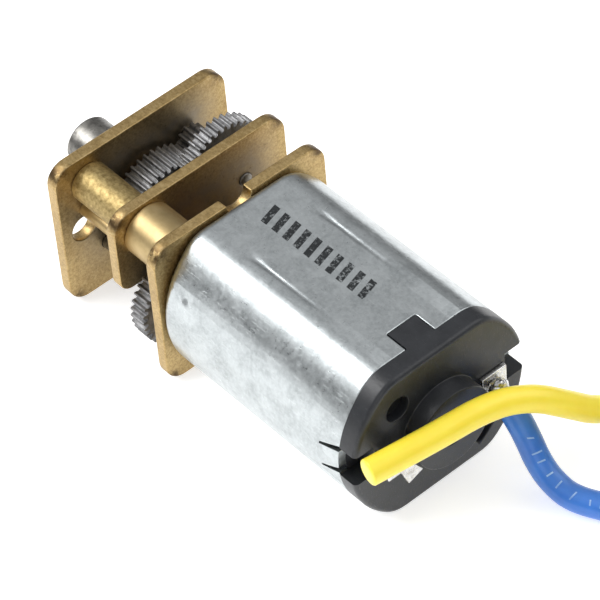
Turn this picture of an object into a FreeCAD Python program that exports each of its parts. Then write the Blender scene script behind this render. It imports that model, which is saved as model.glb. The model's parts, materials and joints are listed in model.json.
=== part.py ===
import FreeCAD, Part
import math
import os
import Sketcher
from FreeCAD import Placement, Rotation, Vector

# A miniature geared dc motor: a three-plate spur gearbox in front of a flat-sided can motor.
# Millimetres. +X is the way the output shaft points, +Z is up with the can's flats level, and the
# origin is on the shaft's axis, in the front plate's front face.

os.makedirs("parts", exist_ok=True)
doc = FreeCAD.newDocument("geared_dc_motor")

# ---------------------------------------------------------------- driving dimensions

gear_module = 0.15
teeth = {
    "motor_pinion": 12,
    "first_gear": 36,
    "first_pinion": 11,
    "centre_gear": 37,
    "centre_pinion": 13,
    "third_gear": 35,
    "third_pinion": 10,
    "output_gear": 38,
}
pressure_angle = math.radians(20.0)
addendum = 0.9 * gear_module
dedendum = 1.2 * gear_module
tooth_slack = 0.02
axle_distance = gear_module * (teeth["motor_pinion"] + teeth["first_gear"]) / 2
axle_angle = math.atan2(-2.0, 3.0)

sizes = {
    # plates
    "plate_width": 12.0,
    "plate_height": 10.0,
    "plate_corner": 1.2,
    "front_plate_thick": 0.75,
    "inner_plate_thick": 0.7,
    "front_plate_back": -0.75,
    "mid_plate_back": -5.75,
    "mid_plate_front": -5.05,
    "rear_plate_back": -9.05,
    "rear_plate_front": -8.35,
    "mount_hole_rad": 0.8,
    "mount_hole_side": 4.5,
    "bush_rad": 2.0,
    "bush_back": -0.9,
    "bush_long": 1.5,
    "bush_bore_rad": 1.53,
    "rear_notch_rad": 0.85,
    "cutaway_side": 1.6,
    "cutaway_top": -0.4,
    "cutaway_corner": 0.8,
    # pillars and screws
    "pillar_side": 3.8,
    "pillar_high": 3.2,
    "pillar_bore_rad": 0.55,
    "front_pillar_rad": 1.2,
    "front_gap": 4.3,
    "rear_pillar_rad": 1.6,
    "rear_gap": 2.6,
    "dowel_rad": 0.5,
    "dowel_side": 4.15,
    "dowel_high": 1.35,
    "screw_rad": 0.5,
    "screw_head_rad": 0.9,
    "screw_head_thick": 0.4,
    "screw_long": 9.05,
    "motor_screw_side": 4.5,
    "motor_screw_long": 1.35,
    # output shaft and its parts
    "shaft_rad": 1.5,
    "shaft_round_rad": 1.49,
    "grease_groove_rad": 1.32,
    "grease_groove_back": 0.04,
    "grease_groove_long": 0.58,
    "shaft_front": 4.6,
    "shaft_flat": 1.1,
    "shaft_flat_long": 3.8,
    "shaft_chamfer": 0.15,
    "shaft_seat_rad": 1.2,
    "shaft_seat_back": -3.0,
    "shaft_seat_front": -0.93,
    "journal_rad": 0.5,
    "journal_back": -5.65,
    "washer_back": -1.05,
    "washer_thick": 0.15,
    "washer_rad": 2.3,
    "washer_bore_rad": 1.55,
    # gear stations along the shaft
    "output_gear_back": -3.0,
    "output_gear_wide": 1.85,
    "third_gear_back": -4.15,
    "third_gear_wide": 1.0,
    "third_hub_back": -4.95,
    "third_hub_rad": 0.58,
    "third_seat_rad": 0.55,
    "third_teeth_back": -3.15,
    "third_teeth_wide": 2.2,
    "centre_gear_back": -4.95,
    "centre_gear_wide": 0.7,
    "centre_seat_rad": 0.76,
    "centre_teeth_back": -4.25,
    "centre_teeth_wide": 1.1,
    "centre_bore_rad": 0.53,
    "first_gear_back": -7.1,
    "first_gear_wide": 1.1,
    "first_hub_back": -8.2,
    "first_hub_rad": 0.9,
    "first_seat_rad": 0.62,
    "first_teeth_back": -6.0,
    "first_teeth_wide": 1.8,
    "motor_pinion_back": -7.9,
    "motor_pinion_wide": 1.95,
    # axle pins
    "axle_side": axle_distance * math.cos(axle_angle),
    "axle_high": axle_distance * math.sin(axle_angle),
    "axle_rad": 0.4,
    "axle_bore_rad": 0.43,
    "axle_step_rad": 0.5,
    "axle_step_back": -4.1,
    "third_axle_back": -5.85,
    # motor can
    "can_round": 6.0,
    "can_flat": 5.0,
    "can_wall": 0.5,
    "can_front": -9.05,
    "can_back": -23.3,
    "can_long": 14.25,
    "can_front_wall": 0.7,
    "can_edge_fillet": 2.0,
    "can_front_fillet": 0.7,
    "cap_rim_fillet": 0.3,
    "can_inner_round": 5.5,
    "can_inner_flat": 4.5,
    "slit_front": -21.8,
    "slit_back": -23.4,
    "upper_slit_root_low": 0.55,
    "upper_slit_root_high": 0.72,
    "upper_slit_mouth_low": 1.05,
    "upper_slit_mouth_high": 1.42,
    "lower_slit_root_low": -1.2,
    "lower_slit_root_high": -1.04,
    "lower_slit_mouth_low": -0.5,
    "lower_slit_mouth_high": -0.1,
    "boss_rad": 2.0,
    "boss_long": 0.5,
    "bearing_rad": 1.5,
    "bearing_bore_rad": 0.53,
    "front_bearing_back": -9.9,
    "front_bearing_long": 1.35,
    "can_notch_wide": 2.0,
    "can_notch_long": 1.5,
    # end cap
    "cap_back": -24.5,
    "cap_flange": 1.2,
    "plug_round": 5.47,
    "plug_flat": 4.47,
    "plug_long": 1.6,
    "plug_front": -21.7,
    "plug_hollow_rad": 4.2,
    "plug_hub_rad": 1.8,
    "plug_hollow_deep": 1.9,
    "cap_boss_rad": 2.55,
    "cap_boss_long": 1.1,
    "cap_well_rad": 1.1,
    "cap_well_deep": 1.0,
    "cap_notch_side": 4.6,
    "cap_notch_low": 0.7,
    "cap_notch_high": 1.3,
    "cap_pit_rad": 0.75,
    "cap_pit_spot": 2.8,
    "cap_groove_outer": 4.9,
    "cap_groove_inner": 3.6,
    "cap_groove_span": 20.0,
    "cap_groove_deep": 0.6,
    "rear_bearing_rad": 1.2,
    "rear_bearing_long": 2.2,
    "cap_shaft_hole_rad": 0.6,
    "cap_slot_side": 4.3,
    "cap_slot_tall": 1.7,
    "cap_slot_wide": 0.34,
    # magnets and clip
    "magnet_back": -19.6,
    "magnet_long": 8.8,
    "magnet_outer": 5.45,
    "magnet_inner": 3.95,
    "magnet_span": 100.0,
    "clip_outer": 4.4,
    "clip_inner": 4.1,
    "clip_span": 64.0,
    # rotor
    "rotor_shaft_rad": 0.5,
    "rotor_shaft_back": -24.9,
    "rotor_shaft_front": -5.98,
    "core_rad": 3.7,
    "core_back": -18.2,
    "core_long": 6.0,
    "core_arm_wide": 1.3,
    "core_shoe_rad": 2.75,
    "core_hub_rad": 1.3,
    "core_lip_rad": 3.0,
    "core_mouth_half": 0.35,
    "winding_over": 0.5,
    "winding_wide": 2.2,
    "winding_tall": 0.88,
    "winding_low": 1.52,
    "collar_rad": 1.3,
    "collar_long": 0.6,
    "commutator_back": -21.2,
    "commutator_long": 2.2,
    "commutator_hub_rad": 0.95,
    "commutator_rad": 1.1,
    "commutator_span": 112.0,
    # brushes, terminals and solder
    "brush_back": -22.9,
    "brush_front": -20.3,
    "brush_side": 3.4,
    "brush_tip": 1.14,
    "brush_thick": 0.12,
    "brush_tall": 0.8,
    "terminal_inner": 4.14,
    "terminal_outer": 4.46,
    "terminal_fold": 2.75,
    "terminal_front": -22.7,
    "terminal_thick": 0.28,
    "terminal_tall": 1.6,
    "terminal_left_back": -25.4,
    "terminal_right_back": -24.78,
    "terminal_end_side": 3.9,
    "terminal_bend_side": 2.65,
    "terminal_bend_low": 0.75,
    "terminal_tip_inner": 2.1,
    "terminal_tip_outer": 3.12,
    "terminal_tip_high": 1.62,
    "terminal_tip_low": 2.0,
    "solder_left_rad": 0.55,
    "solder_left_side": 3.6,
    "solder_left_high": 0.65,
    "solder_right_rad": 0.8,
    "solder_right_side": 3.45,
    "solder_right_high": 0.1,
    "solder_left_long": 0.45,
    "solder_right_long": 0.85,
    # leads
    "lead_rad": 0.75,
    "coil_inner": 5.5,
    "coil_outer": 9.5,
    "coil_layer": 1.5,
    "coil_floor": -4.8,
    "coil_along": -37.4,
    "coil_side": -13.3,
    "tie_skin": 0.2,
    "tie_wide": 1.6,
    "tie_half": 0.8,
    "tie_slack": 0.06,
    "tip_rad": 0.3,
    "tip_long": 2.5,
    "tip_away": 5.8,
    "tip_inwards": 35.0,
}
sizes["plate_width_half"] = sizes["plate_width"] / 2
sizes["plate_height_half"] = sizes["plate_height"] / 2
sizes["can_notch_half"] = sizes["can_notch_wide"] / 2
sizes["tab_half"] = sizes["can_notch_half"] - 0.05
sizes["slot_half_wide"] = sizes["cap_slot_wide"] / 2
sizes["slot_half_tall"] = sizes["cap_slot_tall"] / 2
for gear, count in teeth.items():
    sizes[f"{gear}_tip"] = gear_module * count / 2 + addendum

sheet = doc.addObject("Spreadsheet::Sheet", "Dims")
for row, (alias, number) in enumerate(sizes.items(), start=1):
    sheet.set(f"A{row}", alias)
    sheet.set(f"B{row}", f"{number:.9g}")
    sheet.setAlias(f"B{row}", alias)
doc.recompute()


def value(text):
    """The number that a sum of aliases and numbers stands for."""
    total, sign = 0.0, 1.0
    for word in text.split():
        if word in "+-":
            sign = 1.0 if word == "+" else -1.0
        else:
            total += sign * (sizes[word] if word in sizes else float(word))
    return total


def linked(text):
    """The same sum as an expression that reads the sheet."""
    return " ".join(f"Dims.{word}" if word in sizes else word for word in text.split())


def opposite(text):
    """The same sum with its sign changed."""
    flipped = {"+": "-", "-": "+"}
    return "0 - " + " ".join(flipped.get(word, word) for word in text.split())


def bind(item, **properties):
    for name, text in properties.items():
        item.setExpression(name.replace("__", "."), linked(text))


# ---------------------------------------------------------------- sketches

X_AXIS, Y_AXIS = -1, -2
ORIGIN_POINT = (-1, 1)
START, END, CENTRE = 1, 2, 3
X, Y, Z = Vector(1, 0, 0), Vector(0, 1, 0), Vector(0, 0, 1)
parts = []


def new_body(label, side="0", high="0"):
    """A body whose own X axis lies along the shaft, at a side and a height."""
    body = doc.addObject("PartDesign::Body", label)
    body.Label = label
    if side != "0" or high != "0":
        bind(body, Placement__Base__y=side, Placement__Base__z=high)
    parts.append(body)
    return body


def origin_item(body, role):
    return next(item for item in body.Origin.OriginFeatures if item.Role == role)


def new_sketch(body, name, station="0", plane="YZ_Plane"):
    """A sketch across the shaft at a station along it, or in another of the body's planes."""
    sketch = body.newObject("Sketcher::SketchObject", f"{body.Label}_{name}")
    sketch.AttachmentSupport = [(origin_item(body, plane), "")]
    sketch.MapMode = "FlatFace"
    bind(sketch, AttachmentOffset__Base__z=station)
    return sketch


def fix_point(sketch, item, end, across, up):
    """Hold a point at its place with two distances that read the sheet."""
    for kind, text in (("DistanceX", across), ("DistanceY", up)):
        index = sketch.addConstraint(Sketcher.Constraint(kind, *ORIGIN_POINT, item, end, value(text)))
        sketch.setExpression(f"Constraints[{index}]", linked(text))


def add_circle(sketch, radius, across="0", up="0"):
    middle = Vector(value(across), value(up), 0)
    item = sketch.addGeometry(Part.Circle(middle, Z, value(radius)), False)
    index = sketch.addConstraint(Sketcher.Constraint("Radius", item, value(radius)))
    sketch.setExpression(f"Constraints[{index}]", linked(radius))
    if across == "0" and up == "0":
        sketch.addConstraint(Sketcher.Constraint("Coincident", item, CENTRE, *ORIGIN_POINT))
    else:
        fix_point(sketch, item, CENTRE, across, up)


def add_outline(sketch, points):
    """A closed outline of straight sides whose corners read the sheet."""
    spots = [Vector(value(across), value(up), 0) for across, up in points]
    items = [
        sketch.addGeometry(Part.LineSegment(spot, spots[(n + 1) % len(spots)]), False)
        for n, spot in enumerate(spots)
    ]
    for n, (across, up) in enumerate(points):
        sketch.addConstraint(Sketcher.Constraint("Coincident", items[n - 1], END, items[n], START))
        fix_point(sketch, items[n], START, across, up)


def add_plain_outline(sketch, points):
    """A closed outline through points that a formula gives."""
    spots = [Vector(across, up, 0) for across, up in points]
    for n, spot in enumerate(spots):
        sketch.addGeometry(Part.LineSegment(spot, spots[(n + 1) % len(spots)]), False)
    for n in range(len(spots)):
        sketch.addConstraint(Sketcher.Constraint("Coincident", n, END, (n + 1) % len(spots), START))
        sketch.addConstraint(Sketcher.Constraint("Block", n))


def add_drum(sketch, radius, flat):
    """A circle with its top and bottom cut level: the motor's section."""
    reach, level = value(radius), value(flat)
    lean = math.asin(level / reach)
    side = reach * math.cos(lean)
    round_right = Part.ArcOfCircle(Part.Circle(Vector(), Z, reach), -lean, lean)
    round_left = Part.ArcOfCircle(Part.Circle(Vector(), Z, reach), math.pi - lean, math.pi + lean)
    items = [
        sketch.addGeometry(shape, False)
        for shape in (
            round_right,
            Part.LineSegment(Vector(side, level, 0), Vector(-side, level, 0)),
            round_left,
            Part.LineSegment(Vector(-side, -level, 0), Vector(side, -level, 0)),
        )
    ]
    for n in range(4):
        sketch.addConstraint(Sketcher.Constraint("Coincident", items[n], END, items[(n + 1) % 4], START))
    for n in (0, 2):
        sketch.addConstraint(Sketcher.Constraint("Coincident", items[n], CENTRE, *ORIGIN_POINT))
        index = sketch.addConstraint(Sketcher.Constraint("Radius", items[n], reach))
        sketch.setExpression(f"Constraints[{index}]", linked(radius))
    for n, text in ((1, flat), (3, f"0 - {flat}")):
        sketch.addConstraint(Sketcher.Constraint("Horizontal", items[n]))
        index = sketch.addConstraint(
            Sketcher.Constraint("DistanceY", *ORIGIN_POINT, items[n], START, value(text))
        )
        sketch.setExpression(f"Constraints[{index}]", linked(text))


def add_arc_band(sketch, outer, inner, span, facing):
    """Part of a ring, spanning an angle and centred on a facing angle in degrees."""
    far, near = value(outer), value(inner)
    low, high = (math.radians(facing + turn_by * value(span) / 2) for turn_by in (-1, 1))

    def spot(radius, angle):
        return Vector(radius * math.cos(angle), radius * math.sin(angle), 0)

    sketch.addGeometry(Part.ArcOfCircle(Part.Circle(Vector(), Z, far), low, high), False)
    sketch.addGeometry(Part.LineSegment(spot(far, high), spot(near, high)), False)
    sketch.addGeometry(Part.ArcOfCircle(Part.Circle(Vector(), Z, near), low, high), False)
    sketch.addGeometry(Part.LineSegment(spot(near, low), spot(far, low)), False)
    joins = ((0, END, 1, START), (1, END, 2, END), (2, START, 3, START), (3, END, 0, START))
    for join in joins:
        sketch.addConstraint(Sketcher.Constraint("Coincident", *join))
    for item, radius in ((0, outer), (2, inner)):
        sketch.addConstraint(Sketcher.Constraint("Coincident", item, CENTRE, *ORIGIN_POINT))
        index = sketch.addConstraint(Sketcher.Constraint("Radius", item, value(radius)))
        sketch.setExpression(f"Constraints[{index}]", linked(radius))


# ---------------------------------------------------------------- features


def pad(body, sketch, length, middle=False):
    feature = body.newObject("PartDesign::Pad", f"{sketch.Name}_pad")
    feature.Profile = sketch
    feature.Midplane = middle
    bind(feature, Length=length)
    sketch.Visibility = False
    return feature


def pocket(body, sketch, depth=None, backwards=False):
    """Cut along the sketch's normal, by a depth or right through both ways."""
    feature = body.newObject("PartDesign::Pocket", f"{sketch.Name}_pocket")
    feature.Profile = sketch
    if depth is None:
        feature.Type = "ThroughAll"
        feature.Midplane = True
    else:
        feature.Reversed = not backwards
        bind(feature, Length=depth)
    return feature


def turn(body, sketch, groove=False):
    kind = "Groove" if groove else "Revolution"
    feature = body.newObject(f"PartDesign::{kind}", f"{sketch.Name}_{kind.lower()}")
    feature.Profile = sketch
    feature.ReferenceAxis = (sketch, ["H_Axis"])
    feature.Angle = 360.0
    return feature


def ring_of(body, feature, count):
    """Repeat a feature around the body's shaft axis."""
    pattern = body.newObject("PartDesign::PolarPattern", f"{feature.Name}_ring")
    pattern.Originals = [feature]
    pattern.Axis = (origin_item(body, "X_Axis"), [""])
    pattern.Angle = 360.0
    pattern.Occurrences = count
    body.Tip = pattern
    return pattern


def round_edges(body, name, radius, chosen):
    """Round the edges of the body's last feature that a test picks by their middles."""
    doc.recompute()
    base = body.Tip
    names = [
        f"Edge{n}"
        for n, edge in enumerate(base.Shape.Edges, start=1)
        if chosen(edge, edge.valueAt((edge.FirstParameter + edge.LastParameter) / 2))
    ]
    feature = body.newObject("PartDesign::Fillet", f"{body.Label}_{name}")
    feature.Base = (base, names)
    bind(feature, Radius=radius)
    return feature


def runs_along_shaft(edge):
    ends = [vertex.Point for vertex in edge.Vertexes]
    return len(ends) == 2 and abs((ends[1] - ends[0]).normalize().x) > 0.999


def turned_part(label, profile, side="0", high="0"):
    """A body of revolution from (station, radius) corners."""
    body = new_body(label, side, high)
    sketch = new_sketch(body, "profile", plane="XY_Plane")
    add_outline(sketch, profile)
    turn(body, sketch)
    return body


def tube(label, back, length, outer, inner=None, side="0", high="0"):
    body = new_body(label, side, high)
    sketch = new_sketch(body, "section", back)
    add_circle(sketch, outer)
    if inner:
        add_circle(sketch, inner)
    pad(body, sketch, length)
    return body


def rod(name, radius, back, length, side="0", high="0"):
    """A plain cylinder along the shaft, for use in a boolean."""
    item = doc.addObject("Part::Cylinder", name)
    item.Placement = Placement(Vector(), Rotation(Y, 90))
    bind(
        item,
        Radius=radius,
        Height=length,
        Placement__Base__x=back,
        Placement__Base__y=side,
        Placement__Base__z=high,
    )
    return item


def fuse(label, items):
    made = doc.addObject("Part::MultiFuse", label)
    made.Label = label
    made.Shapes = items
    parts.append(made)
    return made


def cut(name, base, tool):
    made = doc.addObject("Part::Cut", name)
    made.Base = base
    made.Tool = tool
    return made


# ---------------------------------------------------------------- gear teeth


def involute(angle):
    return math.tan(angle) - angle


def gap_outline(count, middle):
    """The gap between two teeth, across the shaft, centred on an angle."""
    pitch_radius = gear_module * count / 2
    base_radius = pitch_radius * math.cos(pressure_angle)
    tip, root = pitch_radius + addendum, pitch_radius - dedendum
    half_tooth = (math.pi / 2 - tooth_slack / gear_module) / count

    def half_gap(radius):
        lean = math.acos(min(1.0, base_radius / radius))
        return math.pi / count - half_tooth - involute(pressure_angle) + involute(lean)

    flank = [root, max(base_radius, root + 0.02), pitch_radius, (pitch_radius + tip) / 2, tip]
    rising = [(radius, half_gap(radius)) for radius in flank]
    past_tip = (tip + 0.1, half_gap(tip))
    side = rising + [past_tip]
    corners = [(r, -a) for r, a in reversed(side)] + side
    return [(r * math.cos(middle + a), r * math.sin(middle + a)) for r, a in corners]


def cut_teeth(body, name, back, length, middle):
    count = teeth[name]
    sketch = new_sketch(body, "gap", back)
    add_plain_outline(sketch, gap_outline(count, middle))
    gap = pocket(body, sketch, length)
    doc.recompute()
    ring_of(body, gap, count)


def gear_wheel(name, back, wide, bore, middle, side="0", high="0"):
    body = tube(name, back, wide, f"{name}_tip", bore, side, high)
    cut_teeth(body, name, back, wide, middle)
    return body


# Each pair meets on the line through the three axles: a tooth of the pinion lies on it, and a gap
# of the wheel.
def tooth_at(angle, count):
    return angle + math.pi / count


# ---------------------------------------------------------------- gearbox plates


def plate(label, back, thick):
    body = new_body(label)
    sketch = new_sketch(body, "outline", back)
    half_wide, half_high = "plate_width_half", "plate_height_half"
    add_outline(
        sketch,
        [
            (f"0 - {half_wide}", f"0 - {half_high}"),
            (half_wide, f"0 - {half_high}"),
            (half_wide, half_high),
            (f"0 - {half_wide}", half_high),
        ],
    )
    pad(body, sketch, thick)
    round_edges(body, "corners", "plate_corner", lambda edge, middle: runs_along_shaft(edge))
    return body


PILLARS = (("left", "pillar_side", "pillar_high"), ("right", "0 - pillar_side", "0 - pillar_high"))
DOWELS = (("left", "dowel_side", "dowel_high"), ("right", "0 - dowel_side", "0 - dowel_high"))
FIRST_AXLE = ("axle_side", "axle_high")
THIRD_AXLE = ("0 - axle_side", "0 - axle_high")


def holes(body, name, station, circles, depth=None, backwards=False):
    sketch = new_sketch(body, name, station)
    for radius, side, high in circles:
        add_circle(sketch, radius, side, high)
    return pocket(body, sketch, depth, backwards)


def make_plates():
    front = plate("front_plate", "front_plate_back", "front_plate_thick")
    through = [("bush_rad", "0", "0")]
    through += [("mount_hole_rad", side, "0") for side in ("mount_hole_side", "0 - mount_hole_side")]
    through += [("screw_rad", side, high) for _, side, high in PILLARS]
    through += [("axle_step_rad", *FIRST_AXLE), ("axle_rad", *THIRD_AXLE)]
    holes(front, "holes", "0", through)
    heads = [("screw_head_rad", side, high) for _, side, high in PILLARS]
    holes(front, "head_seats", "0", heads, "screw_head_thick", backwards=True)

    mid = plate("mid_plate", "mid_plate_back", "inner_plate_thick")
    cutaway = new_sketch(mid, "cutaway", "mid_plate_back")
    add_outline(
        cutaway,
        [
            ("cutaway_side", "cutaway_top"),
            ("cutaway_side", "0 - plate_height"),
            ("plate_width", "0 - plate_height"),
            ("plate_width", "cutaway_top"),
        ],
    )
    pocket(mid, cutaway)
    round_edges(
        mid,
        "cutaway_corner",
        "cutaway_corner",
        lambda edge, middle: runs_along_shaft(edge)
        and abs(middle.z - sizes["cutaway_top"]) < 0.01
        and middle.y > 0,
    )
    mid_holes = [("pillar_bore_rad", "0", "0"), ("axle_rad", *THIRD_AXLE)]
    mid_holes += [("screw_rad", side, high) for _, side, high in PILLARS]
    holes(mid, "holes", "mid_plate_front", mid_holes)

    rear = plate("rear_plate", "rear_plate_back", "inner_plate_thick")
    rear_holes = [("boss_rad", "0", "0"), ("axle_rad", *FIRST_AXLE)]
    rear_holes += [("screw_rad", side, high) for _, side, high in PILLARS]
    rear_holes += [("screw_rad", side, "0") for side in ("motor_screw_side", "0 - motor_screw_side")]
    holes(rear, "holes", "rear_plate_front", rear_holes)
    notches = [("rear_notch_rad", "0", high) for high in ("plate_height_half", "0 - plate_height_half")]
    for number, notch in enumerate(notches):
        holes(rear, f"notch{number}", "rear_plate_front", [notch])
    seats = [("screw_head_rad", side, "0") for side in ("motor_screw_side", "0 - motor_screw_side")]
    holes(rear, "head_seats", "rear_plate_front", seats, "screw_head_thick", backwards=True)


def make_pillars_and_screws():
    for which, side, high in PILLARS:
        tube(f"front_pillar_{which}", "mid_plate_front", "front_gap", "front_pillar_rad",
             "pillar_bore_rad", side, high)
        tube(f"rear_pillar_{which}", "rear_plate_front", "rear_gap", "rear_pillar_rad",
             "pillar_bore_rad", side, high)
    for which, side, high in DOWELS:
        tube(f"front_dowel_{which}", "mid_plate_front", "front_gap", "dowel_rad", None, side, high)
    frame_pieces = []
    for which, side, high in PILLARS:
        frame_pieces.append(rod(f"frame_head_{which}", "screw_head_rad", "0 - screw_head_thick",
                                "screw_head_thick", side, high))
        frame_pieces.append(rod(f"frame_shank_{which}", "screw_rad", "0 - screw_long",
                                "screw_long - screw_head_thick", side, high))
    fuse("frame_screws", frame_pieces)
    motor_pieces = []
    for which, side in (("left", "motor_screw_side"), ("right", "0 - motor_screw_side")):
        motor_pieces.append(rod(f"motor_head_{which}", "screw_head_rad",
                                "rear_plate_front - screw_head_thick", "screw_head_thick", side))
        motor_pieces.append(rod(f"motor_shank_{which}", "screw_rad",
                                "rear_plate_front - screw_head_thick - motor_screw_long",
                                "motor_screw_long", side))
    fuse("motor_screws", motor_pieces)


# ---------------------------------------------------------------- shafts, axles and gears


def make_output():
    shaft = turned_part("output_shaft", [
        ("journal_back", "0"),
        ("shaft_front", "0"),
        ("shaft_front", "shaft_rad - shaft_chamfer"),
        ("shaft_front - shaft_chamfer", "shaft_rad"),
        ("shaft_front - shaft_flat_long", "shaft_rad"),
        ("shaft_front - shaft_flat_long", "shaft_round_rad"),
        ("grease_groove_back + grease_groove_long", "shaft_round_rad"),
        ("grease_groove_back + grease_groove_long", "grease_groove_rad"),
        ("grease_groove_back", "grease_groove_rad"),
        ("grease_groove_back", "shaft_round_rad"),
        ("shaft_seat_front", "shaft_round_rad"),
        ("shaft_seat_front", "shaft_seat_rad"),
        ("shaft_seat_back", "shaft_seat_rad"),
        ("shaft_seat_back", "journal_rad"),
        ("journal_back", "journal_rad"),
    ])
    flat = new_sketch(shaft, "flat", "shaft_front")
    facing = -math.pi / 4
    near, far, wide = sizes["shaft_flat"], 2 * sizes["shaft_rad"], 2 * sizes["shaft_rad"]
    corners = [(near, -wide), (far, -wide), (far, wide), (near, wide)]
    add_plain_outline(flat, [
        (u * math.cos(facing) - v * math.sin(facing), u * math.sin(facing) + v * math.cos(facing))
        for u, v in corners
    ])
    pocket(shaft, flat, "shaft_flat_long", backwards=True)
    tube("output_bush", "bush_back", "bush_long", "bush_rad", "bush_bore_rad")
    tube("thrust_washer", "washer_back", "washer_thick", "washer_rad", "washer_bore_rad")
    gear_wheel("output_gear", "output_gear_back", "output_gear_wide", "shaft_seat_rad",
               axle_angle + math.pi)


def make_gear_train():
    gear_wheel("third_gear", "third_gear_back", "third_gear_wide", "third_seat_rad",
               axle_angle, *THIRD_AXLE)
    third = turned_part("third_pinion", [
        ("third_hub_back", "axle_bore_rad"),
        ("third_teeth_back + third_teeth_wide", "axle_bore_rad"),
        ("third_teeth_back + third_teeth_wide", "third_pinion_tip"),
        ("third_teeth_back", "third_pinion_tip"),
        ("third_teeth_back", "third_seat_rad"),
        ("third_gear_back", "third_seat_rad"),
        ("third_gear_back", "third_hub_rad"),
        ("third_hub_back", "third_hub_rad"),
    ], *THIRD_AXLE)
    cut_teeth(third, "third_pinion", "third_teeth_back", "third_teeth_wide",
              tooth_at(axle_angle, teeth["third_pinion"]))

    gear_wheel("centre_gear", "centre_gear_back", "centre_gear_wide", "centre_seat_rad", axle_angle)
    centre = turned_part("centre_pinion", [
        ("centre_gear_back", "centre_bore_rad"),
        ("centre_teeth_back + centre_teeth_wide", "centre_bore_rad"),
        ("centre_teeth_back + centre_teeth_wide", "centre_pinion_tip"),
        ("centre_teeth_back", "centre_pinion_tip"),
        ("centre_teeth_back", "centre_seat_rad"),
        ("centre_gear_back", "centre_seat_rad"),
    ])
    cut_teeth(centre, "centre_pinion", "centre_teeth_back", "centre_teeth_wide",
              tooth_at(axle_angle + math.pi, teeth["centre_pinion"]))

    gear_wheel("first_gear", "first_gear_back", "first_gear_wide", "first_seat_rad",
               axle_angle + math.pi, *FIRST_AXLE)
    first = turned_part("first_pinion", [
        ("first_hub_back", "axle_bore_rad"),
        ("first_teeth_back + first_teeth_wide", "axle_bore_rad"),
        ("first_teeth_back + first_teeth_wide", "first_pinion_tip"),
        ("first_teeth_back", "first_pinion_tip"),
        ("first_teeth_back", "first_seat_rad"),
        ("first_gear_back", "first_seat_rad"),
        ("first_gear_back", "first_hub_rad"),
        ("first_hub_back", "first_hub_rad"),
    ], *FIRST_AXLE)
    cut_teeth(first, "first_pinion", "first_teeth_back", "first_teeth_wide",
              tooth_at(axle_angle + math.pi, teeth["first_pinion"]))

    gear_wheel("motor_pinion", "motor_pinion_back", "motor_pinion_wide", "rotor_shaft_rad",
               tooth_at(axle_angle, teeth["motor_pinion"]))

    turned_part("first_axle", [
        ("rear_plate_back", "0"),
        ("0", "0"),
        ("0", "axle_step_rad"),
        ("axle_step_back", "axle_step_rad"),
        ("axle_step_back", "axle_rad"),
        ("rear_plate_back", "axle_rad"),
    ], *FIRST_AXLE)
    tube("third_axle", "third_axle_back", "0 - third_axle_back", "axle_rad", None, *THIRD_AXLE)


# ---------------------------------------------------------------- motor


def flat_corners(edge, middle):
    """The four long edges where the motor's flats meet its round sides."""
    return runs_along_shaft(edge) and abs(abs(middle.z) - sizes["can_flat"]) < 0.01


def make_can():
    can = new_body("motor_can")
    outside = new_sketch(can, "outside", "can_back")
    add_drum(outside, "can_round", "can_flat")
    pad(can, outside, "can_long")
    round_edges(can, "long_edges", "can_edge_fillet", flat_corners)
    round_edges(can, "front_rim", "can_front_fillet",
                lambda edge, middle: abs(middle.x - sizes["can_front"]) < 0.01)
    boss = new_sketch(can, "boss", "can_front")
    add_circle(boss, "boss_rad")
    pad(can, boss, "boss_long")
    inside = new_sketch(can, "inside", "can_back")
    add_drum(inside, "can_inner_round", "can_inner_flat")
    pocket(can, inside, "can_long - can_front_wall")
    holes(can, "bearing_hole", "0", [("bearing_rad", "0", "0")])
    holes(can, "screw_holes", "can_front",
          [("screw_rad", side, "0") for side in ("motor_screw_side", "0 - motor_screw_side")],
          "can_front_wall + 0.1", backwards=True)
    notch = new_sketch(can, "tab_notch", "can_back")
    half = "can_notch_half"
    add_outline(notch, [
        (f"0 - {half}", "0"),
        (half, "0"),
        (half, "can_round"),
        (f"0 - {half}", "can_round"),
    ])
    pocket(can, notch, "can_notch_long")
    for name in ("upper_slit", "lower_slit"):
        slit = new_sketch(can, name, plane="XZ_Plane")
        add_outline(slit, [
            ("slit_front", f"{name}_root_low"),
            ("slit_front", f"{name}_root_high"),
            ("slit_back", f"{name}_mouth_high"),
            ("slit_back", f"{name}_mouth_low"),
        ])
        pocket(can, slit)
    tube("front_bearing", "front_bearing_back", "front_bearing_long", "bearing_rad",
         "bearing_bore_rad")


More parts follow.
